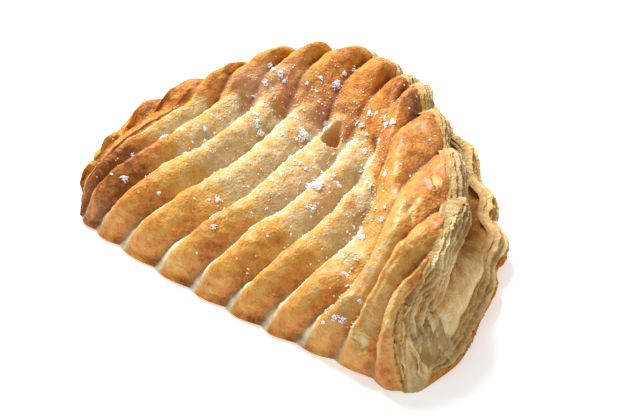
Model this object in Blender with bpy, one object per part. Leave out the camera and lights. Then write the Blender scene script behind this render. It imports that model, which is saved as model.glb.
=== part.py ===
"""Turnover pastry: one piece of puff pastry folded over its filling and baked.

The dough is a round sheet folded over, so in plan the turnover is most of a disc cut off by
the straight fold. Its top is scored into ridges that climb the fold, cross the low middle
and fan out over the tall rim. On one side the rim has sprung open: the upper sheet stands
back from the lower one and a mouth runs in between them.

The solid is a sphere mesh whose poles are set at the two ends of the fold. Each of its
rings becomes one section of the turnover: a closed loop up over the fold, across the top,
down the layered edge, in and out of the mouth, and back along the flat underside.
Lengths below are in millimetres. +X runs along the fold, +Y from the fold to the rim.
Along the turnover a place is told by p, from 0 at the fold's left end to 1 at its right.
The finished part stands on the floor with the middle of its box at the origin.
"""

import math

import bmesh
import bpy
import numpy as np

MM = 0.001
NAME = "turnover"
COLLECTION = "turnover_pastry"

# The plan: a disc, a little deeper than it is wide, cut by the fold
RIM_CENTRE = (-6.0, 18.0)
RIM_REACH = (68.0, 75.5)  # from the centre to the rim, along the fold and across it
RIM_START = 188.0  # where the rim meets the fold's left end, in degrees
RIM_TURN = 135.0  # the ridges' ends fan out evenly over this much of the rim
RIM_TURN_RIGHT = 60.0  # and on the right spread out by this much more
RIM_TURN_BACK = 13.0  # and crowd together at the back by this much
RIM_SWELL = 3.0  # the rim stands out by this much more behind the fold's left end
FOLD_LEFT = -69.5
FOLD_RIGHT = 63.0
FOLD_CROWDING = 22.0  # how sharply the ridges crowd together at the fold's left end
FOLD_CROWDED = 0.35  # up to this p
FOLD_FRONT = 2.5  # the fold's foot stands this far in front of the line y = 0
FOLD_BULGE = 4.7  # and its middle this much further
RIDGE_BOW = 8.0  # the ridges bow to the right as they come over the fold

# Heights of the top above the underside
TIP_HEIGHT = 14.0  # at the fold's left end
FOLD_HEIGHT = 21.0
RIM_HEIGHT = 38.0
END_HEIGHT = 26.0  # at the fold's right end
END_LEAN = 5.5  # the top of the right end stands this far back from its foot
FOLD_ROUND = 25.0  # the fold's wall rounds into the top over this length

# The ridges
RIDGES = 14
RIDGE_SHARPNESS = 0.62  # below 1, the valleys are sharp and the crests round
STEPS_PER_RIDGE = 8
STEPS_ROUND = 42

# The edge: two sheets, and the mouth between them on the right
INSET = 16.0  # the upper sheet's edge stands this far inside the lower one's
END_INSET = 2.0  # and this far inside it at the fold's right end
END_SPREAD = 4.0  # the lower sheet's right end spreads out by this much
MOUTH_DEPTH = 14.0
MOUTH_GAP = 9.5
UPPER_SHEET = 14.0  # thickness of the upper sheet at its edge
LOWER_LIP = 12.0  # height of the lower sheet's edge
LIP_RISE = 12.0  # at the back it climbs by this much towards the upper sheet
LIP_WAVES = 22  # waves of the lower sheet's edge in a full turn
LIP_WAVE = 1.6
LIP_START = 0.4  # the angle of one of their crests

CRUST_COLOUR = (0.58, 0.31, 0.10, 1.0)
CRUST_ROUGHNESS = 0.55


def ramp(x, low, high):
    """0 below low, 1 above high, and a smooth climb in between."""
    t = min(max((x - low) / (high - low), 0.0), 1.0)
    return t * t * (3.0 - 2.0 * t)


def fold_line(p):
    """The foot of the fold at p. The ridges are narrow at its left end."""
    start, climb, full = (
        math.log(1.0 + math.exp(FOLD_CROWDING * (place - FOLD_CROWDED))) ** 0.86
        for place in (0.0, p, 1.0)
    )
    x = FOLD_LEFT + (FOLD_RIGHT - FOLD_LEFT) * (climb - start) / (full - start)
    y = -FOLD_FRONT - FOLD_BULGE * ramp(p, 0.1, 0.4) + 4.5 * ramp(p, 0.5, 1.0)
    return np.array([x, y])


def rim_angle(p):
    """The plan angle of the ridge line p where it reaches the rim."""
    right = RIM_TURN_RIGHT * ramp(p, 0.66, 1.0)
    back = RIM_TURN_BACK * math.sin(math.pi * p)
    return math.radians(RIM_START - RIM_TURN * p - right - back)


def setback(p):
    """How far the upper sheet's edge stands inside the lower sheet's."""
    end = ramp(p, 0.80, 0.96)
    return INSET * ramp(p, 0.55, 0.78) * (1.0 - end) + END_INSET * end


def openness(p):
    """How far the mouth gapes: 0 where the sheets touch, 1 where it is widest."""
    return ramp(p, 0.58, 0.76) * (1.0 - ramp(p, 0.80, 0.93))


def ridge(p):
    """1 on a ridge's crest and 0 at the bottom of the valley beside it."""
    depth = 1.0 - 0.6 * ramp(p, 1.0 - 0.5 / RIDGES, 1.0)
    return 1.0 - depth * (1.0 - abs(math.sin(math.pi * p * RIDGES)) ** RIDGE_SHARPNESS)


def crease_share(p):
    """The share of the way from the fold to the rim at which the low middle ends."""
    return 0.68 - 0.56 * ramp(p, 0.60, 0.88)


def middle_height(p):
    """The crests' height over the fold and the middle."""
    left = 13.0 + (FOLD_HEIGHT - 10.0) * ramp(p, 0.0, 0.24) - 3.0 * ramp(p, 0.3, 0.5)
    return left + 9.0 * ramp(p, 0.72, 0.93) - 5.0 * ramp(p, 0.95, 1.0)


def rim_height(p):
    """The crests' height at the rim."""
    rise = TIP_HEIGHT + (RIM_HEIGHT - TIP_HEIGHT) * ramp(p, -0.05, 0.43)
    return rise + (END_HEIGHT - RIM_HEIGHT) * ramp(p, 0.9, 1.0)


def section(p):
    """The loop of control points of the section at p, counter-clockwise seen from the left."""
    foot = fold_line(p)
    angle = rim_angle(p)
    reach = np.array([math.cos(angle) * RIM_REACH[0], math.sin(angle) * RIM_REACH[1]])
    outward = reach / np.linalg.norm(reach)
    reach = reach + outward * RIM_SWELL * ramp(p, 0.0, 0.12) * (1.0 - ramp(p, 0.14, 0.22))
    gape = openness(p)
    inset = setback(p)
    edge = np.array(RIM_CENTRE) + reach - outward * inset
    across = edge - foot
    length = np.linalg.norm(across)

    # towards the fold's ends the sections are short, and everything in them is smaller
    near = min(1.0, length / 35.0)
    size = near if p < 0.5 else 1.0
    valley = (1.0 - ridge(p)) * near
    carve = ramp(p, 0.08, 0.3)
    end = ramp(p, 0.88, 0.96)
    notch = (0.4 + 0.6 * ramp(p, 0.15, 0.4)) * (1.0 - 0.6 * end)

    low, high = middle_height(p), rim_height(p)
    crease = crease_share(p)
    wall = min(0.6 + 0.3 * ramp(p, 0.5, 0.9), FOLD_ROUND / length)
    bow = np.array([RIDGE_BOW * ramp(p, 0.1, 0.4) * (1.0 - ramp(p, 0.75, 0.94)), 0.0])
    into_wall = np.array([0.35, 1.0])
    sheet = UPPER_SHEET * high / RIM_HEIGHT
    roof = high - sheet
    floor = roof - 1.5 - MOUTH_GAP * gape
    mouth = 3.0 + MOUTH_DEPTH * gape
    climb = LIP_RISE * ramp(p, 0.58, 0.67) * (1.0 - ramp(p, 0.65, 0.78))
    lip = LOWER_LIP * (0.6 + 0.4 * gape) + climb
    wave = LIP_WAVE * gape * math.cos(LIP_WAVES * (angle - LIP_START))
    lip_reach = inset + wave + END_SPREAD * end
    points = []

    def on_top(share, depth):
        """A point of the top, this share of the way from the fold to the rim."""
        turn = math.acos(max(0.0, 1.0 - share / wall))
        height = low + (high - low) * ramp(share, crease - 0.02, crease + 0.30)
        height -= 1.5 * math.exp(-(((share - crease) / 0.07) ** 2))
        height *= 0.12 + 0.88 * math.sin(turn) ** 0.8
        plan = foot + across * share
        plan += bow * math.sin(turn) * (1.0 - ramp(share, 0.3, 0.9))
        plan += into_wall * (carve * depth * valley * math.cos(turn))
        points.append([*plan, height - depth * valley * math.sin(turn)])

    def on_rim(reach, height, depth=0.0):
        """A point of the edge, this far outside the upper sheet's edge."""
        points.append([*(edge + outward * (reach * size - depth * valley)), height])

    # the foot of the fold, and the top from the fold to the rim
    points.append([foot[0], foot[1] + 3.0 * near + 0.5 * carve * valley, 0.0])
    points.append([foot[0], foot[1] + 2.0 * carve * valley, 0.14 * low])
    on_top(0.02, 3.5)
    on_top(0.05, 4.5)
    on_top(0.11, 5.0)
    on_top(0.19, 4.5)
    on_top(0.29, 4.5)
    on_top(0.39, 4.0)
    on_top(0.50, 3.5)
    on_top(0.61, 3.5)
    on_top(0.72, 4.0)
    on_top(0.83, 4.5 * notch)
    on_top(0.93, 4.0 * notch)

    # the upper sheet's edge, the mouth, the lower sheet's edge and the underside
    on_rim(0.5, high - 3.0 - 2.0 * notch * valley, 2.5 * notch)
    on_rim(1.5, high - 0.5 * sheet - notch * valley, 2.5 * notch)
    on_rim(0.1 * inset, roof + 1.0, 1.5 * notch)
    on_rim(0.2 * inset - 0.7 * mouth, roof - 0.5)
    on_rim(0.2 * inset - mouth, (roof + floor) / 2.0)
    on_rim(0.3 * inset - 0.5 * mouth, floor)
    on_rim(0.5 * inset - gape - 0.12 * climb, (lip + floor) / 2.0 - 2.5 * gape)
    on_rim(lip_reach - 3.0 - gape, lip, 0.5)
    on_rim(lip_reach, lip * 0.65, notch)
    on_rim(lip_reach - 1.0, lip * 0.15, notch)
    on_rim(lip_reach - 2.0 - 2.5 * gape, 0.0, notch)
    middle = (foot + edge + outward * lip_reach * size) / 2.0
    points.append([*middle, 0.0])

    points = np.array(points)
    points[:, 0] -= END_LEAN * ramp(p, 0.84, 1.0) * points[:, 2] / END_HEIGHT
    return points


def sampled(loop, count):
    """That many points at even steps of the parameter of the smooth closed curve through loop."""
    n = len(loop)
    found = []
    for step in range(count):
        place = step * n / count
        k = int(place)
        t = place - k
        a, b, c, d = (loop[(k + j) % n] for j in (-1, 0, 1, 2))
        cubic = 3.0 * (b - c) + d - a
        square = 2.0 * a - 5.0 * b + 4.0 * c - d
        found.append(b + 0.5 * t * (c - a + t * (square + t * cubic)))
    return np.array(found)


def build():
    """The turnover as one closed mesh, with the middle of its box over the origin."""
    rings = RIDGES * STEPS_PER_RIDGE
    bm = bmesh.new()
    bmesh.ops.create_uvsphere(bm, u_segments=STEPS_ROUND, v_segments=rings, radius=1.0)
    sections = [sampled(section(ring / rings), STEPS_ROUND) for ring in range(rings + 1)]
    for vert in bm.verts:
        ring = round(math.acos(max(-1.0, min(1.0, vert.co.z))) / math.pi * rings)
        if ring in (0, rings):
            place = sections[ring].mean(axis=0)
        else:
            turn = math.atan2(vert.co.y, vert.co.x) / (2.0 * math.pi)
            place = sections[ring][round(turn * STEPS_ROUND) % STEPS_ROUND]
        vert.co = (place[0] * MM, place[1] * MM, max(place[2], 0.0) * MM)
    for axis in (0, 1):
        places = [vert.co[axis] for vert in bm.verts]
        middle = (min(places) + max(places)) / 2.0
        for vert in bm.verts:
            vert.co[axis] -= middle

    mesh = bpy.data.meshes.new(NAME)
    bm.to_mesh(mesh)
    bm.free()
    mesh.shade_smooth()
    mesh.set_sharp_from_angle(angle=math.radians(60.0))
    return mesh


def crust():
    """Baked puff pastry, golden brown."""
    material = bpy.data.materials.new("crust")
    material.use_nodes = True
    shader = material.node_tree.nodes["Principled BSDF"]
    shader.inputs["Base Color"].default_value = CRUST_COLOUR
    shader.inputs["Roughness"].default_value = CRUST_ROUGHNESS
    shader.inputs["Metallic"].default_value = 0.0
    return material


def main():
    for old in list(bpy.data.objects):
        bpy.data.objects.remove(old)
    collection = bpy.data.collections.new(COLLECTION)
    bpy.context.scene.collection.children.link(collection)
    turnover = bpy.data.objects.new(NAME, build())
    turnover.data.materials.append(crust())
    collection.objects.link(turnover)


main()
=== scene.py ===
# %% [markdown]
# # A ridged puff pastry turnover
# A round of puff pastry is folded over its filling, scored with slanting cuts, brushed with
# egg, baked and dusted with sugar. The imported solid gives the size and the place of
# everything here. This script gives it what the oven gives the real one: uneven ridges,
# blisters, browning that goes from cream to deep brown, and thin layers at the open side.

import math
import random

import bmesh
import bpy
import numpy as np
from mathutils import Matrix, Vector, noise
from mathutils.bvhtree import BVHTree


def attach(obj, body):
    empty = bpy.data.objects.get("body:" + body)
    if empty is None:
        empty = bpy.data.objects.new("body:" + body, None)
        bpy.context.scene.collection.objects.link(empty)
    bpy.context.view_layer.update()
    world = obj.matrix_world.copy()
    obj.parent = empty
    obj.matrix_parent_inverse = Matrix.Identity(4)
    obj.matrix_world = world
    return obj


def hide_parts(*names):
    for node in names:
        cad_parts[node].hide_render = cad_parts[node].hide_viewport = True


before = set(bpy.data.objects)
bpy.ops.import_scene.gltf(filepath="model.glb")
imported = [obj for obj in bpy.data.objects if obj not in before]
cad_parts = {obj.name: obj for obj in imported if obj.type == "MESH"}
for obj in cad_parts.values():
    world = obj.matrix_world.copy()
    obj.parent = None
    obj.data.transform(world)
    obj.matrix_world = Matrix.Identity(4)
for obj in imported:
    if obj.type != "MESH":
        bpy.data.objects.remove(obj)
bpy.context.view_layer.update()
MM = 0.001

# %% [markdown]
# ## Camera
# The pastry is seen from in front and from its open end, from well above, through a long
# lens, so the ridges climb away from us and the layers at the side face us.

# %% camera
VIEW_AZIMUTH = math.radians(41.5)
VIEW_ELEVATION = math.radians(38.0)
VIEW_DISTANCE = 0.545
VIEW_TARGET = Vector((-0.0011, -0.0048, 0.0090))

camera = bpy.data.objects.new("camera", bpy.data.cameras.new("camera"))
bpy.context.scene.collection.objects.link(camera)
towards = Vector(
    (
        math.sin(VIEW_AZIMUTH) * math.cos(VIEW_ELEVATION),
        -math.cos(VIEW_AZIMUTH) * math.cos(VIEW_ELEVATION),
        math.sin(VIEW_ELEVATION),
    )
)
camera.location = VIEW_TARGET + towards * VIEW_DISTANCE
camera.rotation_mode = "QUATERNION"
camera.rotation_quaternion = (-towards).to_track_quat("-Z", "Y")
camera.data.lens = 100.0
camera.data.sensor_width = 36.0
camera.data.clip_start = 0.01
bpy.context.scene.camera = camera
print("camera at", [round(value, 3) for value in camera.location])

# %% [markdown]
# ## Light and floor
# Food shows its crust best under one large soft lamp with a lot of white around it. The lamp
# stands to the left and behind, so that the left wall of each ridge is bright and its right
# side is in soft shade. A white world fills the shadows. The view transform is the plain
# one, because the crust's colours are mixed to be read straight off the surface.

# %% light and floor
WORLD_STRENGTH = 0.50
LAMP_POWER = 7.2
LAMP_SIZE = 0.30
LAMP_PLACE = Vector((-0.34, 0.12, 0.50))
FLOOR_SIZE = 3.0
FLOOR_GLOW = 0.42  # the card is lit from below a little, which keeps the shadow faint



def dial(node, values):
    """Set a node's inputs by their names."""
    for name, value in values.items():
        node.inputs[name].default_value = value


def new_look(name):
    """A material that uses nodes, its node tree and its shader."""
    look = bpy.data.materials.new(name)
    look.use_nodes = True
    return look, look.node_tree, look.node_tree.nodes["Principled BSDF"]


def mesh_from(bm, name):
    """The content of a bmesh as a mesh; the bmesh is freed."""
    mesh = bpy.data.meshes.new(name)
    bm.to_mesh(mesh)
    bm.free()
    return mesh


scene = bpy.context.scene
scene.view_settings.view_transform = "Standard"
world = bpy.data.worlds.new("white_room")
world.use_nodes = True
dial(world.node_tree.nodes["Background"], {"Color": (1.0, 1.0, 1.0, 1.0), "Strength": WORLD_STRENGTH})
scene.world = world

lamp = bpy.data.objects.new("soft_lamp", bpy.data.lights.new("soft_lamp", "AREA"))
lamp.data.shape = "DISK"
lamp.data.size = LAMP_SIZE
lamp.data.energy = LAMP_POWER
lamp.location = LAMP_PLACE
lamp.rotation_mode = "QUATERNION"
lamp.rotation_quaternion = (-LAMP_PLACE).to_track_quat("-Z", "Y")
scene.collection.objects.link(lamp)

flat = bmesh.new()
bmesh.ops.create_grid(flat, x_segments=1, y_segments=1, size=FLOOR_SIZE)
floor = bpy.data.objects.new("floor", mesh_from(flat, "floor"))
white_card, _, card = new_look("white_card")
dial(card, {"Base Color": (0.93, 0.93, 0.93, 1.0), "Roughness": 0.9})
dial(card, {"Emission Color": (1.0, 1.0, 1.0, 1.0), "Emission Strength": FLOOR_GLOW})
floor.data.materials.append(white_card)
scene.collection.objects.link(floor)
print("lamp", LAMP_POWER, "W, world", WORLD_STRENGTH)

# %% [markdown]
# ## The form: sections along the fold
# The turnover has no flat side but its underside, so its shape is told as a row of
# sections, one for each place p along the fold, from 0 at the left end to 1 at the right.
# Each section is a smooth closed curve: up over the fold, across the top, down the edge,
# into the mouth, out over the lower sheet's lip and back underneath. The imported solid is
# made of the same sections, so what is built here lies where the solid lies.
# Lengths are in millimetres.

# %% the plan
RIM_CENTRE = (-6.0, 18.0)
RIM_REACH = (68.0, 75.5)
RIM_START, RIM_TURN, RIM_TURN_RIGHT, RIM_TURN_BACK = 188.0, 135.0, 60.0, 13.0
RIM_SWELL = 3.0
LOBES, LOBE_END = 3.2, 0.23  # the rim's lobes behind the fold's left end
CORNER = (-2.7, 3.0)  # the baked crust's right corner is rounded off by this much
LIP_RAISED = 3.5  # and its lip at the back stands higher by this much
BACK_DRAWN, BACK_LOWERED = 2.5, 2.2  # the rim beside the open side sank back a little
FOLD_LEFT, FOLD_RIGHT = -69.5, 63.0
FOLD_CROWDING, FOLD_CROWDED, FOLD_EASING = 22.0, 0.35, 0.86
FOLD_FRONT, FOLD_BULGE = 2.5, 4.7
RIDGES = 14


def ramp(x, low, high):
    """0 below low, 1 above high, and a smooth climb in between."""
    t = min(max((x - low) / (high - low), 0.0), 1.0)
    return t * t * (3.0 - 2.0 * t)


def hill(x, low, high, fall, end):
    """0 outside low to end, 1 from high to fall, and smooth slopes on both sides."""
    return ramp(x, low, high) * (1.0 - ramp(x, fall, end))


def fold_line(p):
    """The foot of the fold at p. The ridges are narrow at its left end."""
    start, climb, full = (
        math.log(1.0 + math.exp(FOLD_CROWDING * (place - FOLD_CROWDED))) ** FOLD_EASING
        for place in (0.0, p, 1.0)
    )
    x = FOLD_LEFT + (FOLD_RIGHT - FOLD_LEFT) * (climb - start) / (full - start)
    y = -FOLD_FRONT - FOLD_BULGE * ramp(p, 0.1, 0.4) + 4.5 * ramp(p, 0.5, 1.0)
    return np.array([x, y])


def lobe(p):
    """How far the baked rim's lobes stand out behind the fold's left end."""
    place = (p * RIDGES - 0.15) % 1.0
    reach = LOBES * hill(p, 0.0, 0.03, LOBE_END - 0.05, LOBE_END)
    return reach * (math.sin(math.pi * place) ** 1.3 - 0.2)


def rim_angle(p):
    """The plan angle of the ridge line p where it reaches the rim."""
    right = RIM_TURN_RIGHT * ramp(p, 0.66, 1.0)
    back = RIM_TURN_BACK * math.sin(math.pi * p)
    return math.radians(RIM_START - RIM_TURN * p - right - back)


def rim_line(p):
    """The way out of the rim at p, in plan, and the rim's own point."""
    angle = rim_angle(p)
    reach = np.array([math.cos(angle) * RIM_REACH[0], math.sin(angle) * RIM_REACH[1]])
    outward = reach / np.linalg.norm(reach)
    swell = RIM_SWELL * hill(p, 0.0, 0.12, 0.14, 0.22)
    return outward, np.array(RIM_CENTRE) + reach + outward * swell


print("the rim turns from", RIM_START, "to", round(math.degrees(rim_angle(1.0)), 1), "degrees")

# %% [markdown]
# Seen from the side, the pastry climbs from the fold's left end to the back of the rim.
# Between the fold and the rim lies a lower middle, over the filling. Both lines of crests
# are told apart here, so that either can be raised or lowered alone.

# %% the heights
RIDGE_BOW = 8.0
TIP_HEIGHT, FOLD_HEIGHT, RIM_HEIGHT, END_HEIGHT = 14.0, 21.0, 38.0, 26.0
END_LEAN = 5.5
FOLD_ROUND = 25.0


def crease_share(p):
    """The share of the way from the fold to the rim at which the low middle ends."""
    return 0.68 - 0.56 * ramp(p, 0.60, 0.88)


def middle_height(p):
    """The crests' height over the fold and the middle."""
    left = 13.0 + (FOLD_HEIGHT - 10.0) * ramp(p, 0.0, 0.24) - 3.0 * ramp(p, 0.3, 0.5)
    return left + 9.0 * ramp(p, 0.72, 0.93) - 5.0 * ramp(p, 0.95, 1.0)


def rim_height(p):
    """The crests' height at the rim."""
    rise = TIP_HEIGHT + (RIM_HEIGHT - TIP_HEIGHT) * ramp(p, -0.05, 0.43)
    return rise + (END_HEIGHT - RIM_HEIGHT) * ramp(p, 0.9, 1.0)


print("crests half way, mm:", round(middle_height(0.5), 1), "and", round(rim_height(0.5), 1))

# %% [markdown]
# ## Ridges as a knife and an oven make them
# The dough is scored before it is baked. Each cut opens in the oven: its left wall stays a
# steep step, and from the crest above it the crust slopes more gently down to the next cut.
# The cuts could be carved out of a finished dome, but ridges and dome grew together in the
# oven, so the ridge is a part of every section instead. The solid has fourteen even ridges.
# No two baked ones are alike: slow noise moves each cut sideways a little and changes its
# depth. Where the low middle meets the rim, the cuts are almost closed.

# %% the ridges' profile
RIDGE_SHARPNESS = 0.62
CREST_PLACE, RIM_CREST = 0.43, 0.66  # where a crest stands between its cuts, there and at the rim
LEFT_RISE, RIGHT_RISE = 0.75, 0.95  # the smaller, the steeper that side of a ridge
CUT_NARROWER = 0.36  # the cuts are narrower by this much on the rim
CUT_WANDER = 0.14  # how far a cut wanders sideways, in ridges
BAKED_DEPTH, DEPTH_CHANGE = 1.25, 0.30
DOME_DEEPER, RIM_DEEPER = 0.35, 0.35  # cuts gape in the middle of the dome and at the rim's edge
STRIP_FLATTER, BAND_FLATTER, JOINT_FLATTER = 0.93, 0.35, 0.78
BROWN_START, BROWN_DRIFT = 0.75, 0.72


def ridge_depth(p):
    """The last half ridge runs out flat."""
    return 1.0 - 0.6 * ramp(p, 1.0 - 0.5 / RIDGES, 1.0)


def even_ridge(p, share):
    """The solid's ridges: 1 on a crest and 0 at the bottom of the cut beside it."""
    return 1.0 - ridge_depth(p) * (1.0 - abs(math.sin(math.pi * p * RIDGES)) ** RIDGE_SHARPNESS)


def cut_phase(p, share):
    """The place across the ridges, in ridges: a whole number is the bottom of a cut."""
    wander = noise.noise(Vector((p * RIDGES * 0.9, share * 4.0, 3.0)))
    return p * RIDGES + CUT_WANDER * hill(p, 0.02, 0.12, 0.97, 1.0) * wander


def brown_start(p, climb=ramp):
    """The share of the way to the rim at which the pale middle ends and the brown rim begins."""
    return BROWN_START - BROWN_DRIFT * climb(p, 0.64, 0.84)


def crest_place(p, share):
    """Where the crest stands between its two cuts."""
    lean = ramp(share, 0.72, 0.92) * hill(p, 0.2, 0.3, 0.70, 0.78)
    return CREST_PLACE + (RIM_CREST - CREST_PLACE) * lean


def cut_depth(p, share, phase):
    """How deep the cuts are after baking, beside the solid's."""
    uneven = 1.0 + DEPTH_CHANGE * noise.noise(Vector((phase * 0.6, share * 2.5, 9.0)))
    dome = math.exp(-(((share - 0.45) / 0.2) ** 2))
    joint = hill(share - brown_start(p), -0.06, 0.01, 0.05, 0.19) * hill(p, 0.22, 0.3, 0.64, 0.74)
    strip = (1.0 - ramp(phase, 2.9, 3.3)) * (1.0 - ramp(share, 0.75, 0.92))
    band = ramp(p, 0.76, 0.82) * ramp(share, 0.12, 0.25)
    at_rim = ramp(share, 0.80, 0.95) * hill(p, 0.2, 0.3, 0.72, 0.8)
    uneven *= (1.0 - JOINT_FLATTER * joint) * (1.0 + DOME_DEEPER * dome)
    uneven *= (1.0 - STRIP_FLATTER * strip) * (1.0 - BAND_FLATTER * band)
    return BAKED_DEPTH * uneven * (1.0 + RIM_DEEPER * at_rim)


def baked_ridge(p, share):
    """The same ridges after baking: lopsided, wandering and of uneven depth."""
    phase = cut_phase(p, share)
    place = phase % 1.0
    crest = crest_place(p, share)
    on_rim = ramp(share - brown_start(p), 0.0, 0.12) * ramp(p, 0.2, 0.3)
    narrow = 1.0 - CUT_NARROWER * on_rim * (1.0 - 0.4 * ramp(p, 0.68, 0.76))
    if place < crest:
        rise = math.sin(0.5 * math.pi * place / crest) ** (LEFT_RISE * narrow)
    else:
        rise = math.cos(0.5 * math.pi * (place - crest) / (1.0 - crest)) ** (RIGHT_RISE * narrow)
    return 1.0 - ridge_depth(p) * cut_depth(p, share, phase) * (1.0 - rise)


bottoms = [round(ridge(0.5, 0.4), 2) for ridge in (even_ridge, baked_ridge)]
print("the bottom of a cut, packed and baked:", bottoms)

# %% [markdown]
# ## The open side
# On the right the two sheets of dough were not pressed together: they gape like a mouth, and
# the upper sheet ends some way inside the lower one. Cutting the mouth out of a closed form
# would leave a hard edge, so the sections themselves are drawn back there.

# %% the mouth
INSET, END_INSET = 16.0, 2.0


def setback(p):
    """How far the upper sheet's edge stands inside the lower sheet's."""
    end = ramp(p, 0.80, 0.96)
    return INSET * ramp(p, 0.55, 0.78) * (1.0 - end) + END_INSET * end


def openness(p):
    """How far the mouth gapes: 0 where the sheets touch, 1 where it is widest."""
    return hill(p, 0.58, 0.76, 0.80, 0.93)


print("in the middle of the mouth: set back by", round(setback(0.78), 1), "mm, open", openness(0.78))

# %% [markdown]
# ## One section
# A section is a loop of 25 control points. They could be drawn by hand for each place along
# the fold, but the pastry changes slowly along it, so they are worked out from a few heights
# and reaches instead. The open side's face is set back a little in the baked crust, because
# the thin layers that are added later stand out from it.

# %% section
END_SPREAD = 4.0
MOUTH_DEPTH, MOUTH_GAP = 14.0, 9.5
UPPER_SHEET, LOWER_LIP, LIP_RISE = 14.0, 12.0, 12.0
LIP_WAVES, LIP_WAVE, LIP_START = 22, 1.6, 0.4
TOP_SHARES = (0.02, 0.05, 0.11, 0.19, 0.29, 0.39, 0.50, 0.61, 0.72)
TOP_DEPTHS = (3.5, 4.5, 5.0, 4.5, 4.5, 4.0, 3.5, 3.5, 4.0)


def section(p, ridge=baked_ridge, room=0.0):
    """The section at p, with its open side set back by room."""
    foot = fold_line(p)
    outward, rim = rim_line(p)
    raised = sunk = 0.0
    if ridge is baked_ridge:
        foot = foot + np.array(CORNER) * ramp(p, 0.955, 1.0)
        sunk = hill(p, 0.50, 0.56, 0.61, 0.67)
        rim = rim + outward * (lobe(p) - BACK_DRAWN * sunk)
        raised = LIP_RAISED * hill(p, 0.60, 0.66, 0.70, 0.80)
    gape = openness(p)
    inset = setback(p)
    edge = rim - outward * inset
    across = edge - foot
    length = np.linalg.norm(across)
    near = min(1.0, length / 35.0)
    size = near if p < 0.5 else 1.0
    carve = ramp(p, 0.08, 0.3)
    end = ramp(p, 0.88, 0.96)
    notch = (0.4 + 0.6 * ramp(p, 0.15, 0.4)) * (1.0 - 0.6 * end)
    room = room * ramp(p, 0.45, 0.62)

    low, high = middle_height(p), rim_height(p) - BACK_LOWERED * sunk
    crease = crease_share(p)
    wall = min(0.6 + 0.3 * ramp(p, 0.5, 0.9), FOLD_ROUND / length)
    bow = np.array([RIDGE_BOW * hill(p, 0.1, 0.4, 0.75, 0.94), 0.0])
    into_wall = np.array([0.35, 1.0])
    sheet = UPPER_SHEET * high / RIM_HEIGHT
    roof = high - sheet
    ground = roof - 1.5 - MOUTH_GAP * gape
    mouth = 3.0 + MOUTH_DEPTH * gape
    climb = LIP_RISE * hill(p, 0.58, 0.67, 0.65, 0.78)
    lip = LOWER_LIP * (0.6 + 0.4 * gape) + climb + raised
    wave = LIP_WAVE * gape * math.cos(LIP_WAVES * (rim_angle(p) - LIP_START))
    lip_reach = inset + wave + END_SPREAD * end
    foot_valley = (1.0 - ridge(p, 0.0)) * near
    rim_valley = (1.0 - ridge(p, 1.0)) * near
    points = []

    def on_top(share, depth):
        valley = (1.0 - ridge(p, share)) * near
        turn = math.acos(max(0.0, 1.0 - share / wall))
        height = low + (high - low) * ramp(share, crease - 0.02, crease + 0.30)
        height -= 1.5 * math.exp(-(((share - crease) / 0.07) ** 2))
        height *= 0.12 + 0.88 * math.sin(turn) ** 0.8
        plan = foot + across * share
        plan += bow * math.sin(turn) * (1.0 - ramp(share, 0.3, 0.9))
        plan += into_wall * (carve * depth * valley * math.cos(turn))
        points.append([*plan, height - depth * valley * math.sin(turn)])

    def on_rim(reach, height, depth=0.0):
        points.append([*(edge + outward * (reach * size - depth * rim_valley)), height])

    points.append([foot[0], foot[1] + 3.0 * near + 0.5 * carve * foot_valley, 0.0])
    points.append([foot[0], foot[1] + 2.0 * carve * foot_valley, 0.14 * low])
    for share, depth in zip(TOP_SHARES, TOP_DEPTHS):
        on_top(share, depth)
    on_top(0.83, 4.5 * notch)
    on_top(0.93, 4.0 * notch)
    # down the upper sheet's edge, into the mouth, and out over the lower sheet's lip
    on_rim(0.5 - 0.3 * room, high - 3.0 - 2.0 * notch * rim_valley, 2.5 * notch)
    on_rim(1.5 - room, high - 0.5 * sheet - notch * rim_valley, 2.5 * notch)
    on_rim(0.1 * inset - room, roof + 1.0, 1.5 * notch)
    on_rim(0.2 * inset - 0.7 * mouth, roof - 0.5)
    on_rim(0.2 * inset - mouth, (roof + ground) / 2.0)
    on_rim(0.3 * inset - 0.5 * mouth, ground)
    on_rim(0.5 * inset - gape - 0.12 * climb, (lip + ground) / 2.0 - 2.5 * gape)
    on_rim(lip_reach - 3.0 - gape - 0.6 * room, lip - 0.3 * room, 0.5)
    on_rim(lip_reach - room, lip * 0.65 + raised, notch)
    on_rim(lip_reach - 1.0 - 0.5 * room, lip * 0.15, notch)
    on_rim(lip_reach - 2.0 - 2.5 * gape, 0.0, notch)
    middle = (foot + edge + outward * lip_reach * size) / 2.0
    points.append([*middle, 0.0])
    points = np.array(points)
    points[:, 0] -= END_LEAN * ramp(p, 0.84, 1.0) * points[:, 2] / END_HEIGHT
    return points


print("a section's control points:", len(section(0.5)))

# %% [markdown]
# A smooth closed curve through the control points gives as many points as are wanted. The
# places along it are counted in control points, so that a place has the same meaning in
# every section: 2 to 12 is the top, 13 the upper sheet's edge, and so on round.

# %% points along a section, and the shift to the solid's place
FOOT, TOP_START, TOP_END = 1.0, 2.0, 12.0
EDGE_TOP, EDGE_LOW, MOUTH_BACK = 13.0, 15.0, 17.0
LIP_TOP, LIP_OUTER, LIP_LOW, UNDERSIDE, LOOP = 20.0, 21.0, 22.0, 23.0, 25.0
SOLID_RINGS, SOLID_STEPS = RIDGES * 8, 42


def along(loop, places):
    """Points of the smooth closed curve through the loop, at these places along it."""
    places = np.asarray(places, float)
    k = np.floor(places).astype(int)
    t = (places - k)[:, None]
    a, b, c, d = (loop[(k + j) % len(loop)] for j in (-1, 0, 1, 2))
    cubic = 3.0 * (b - c) + d - a
    square = 2.0 * a - 5.0 * b + 4.0 * c - d
    return b + 0.5 * t * (c - a + t * (square + t * cubic))


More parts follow.
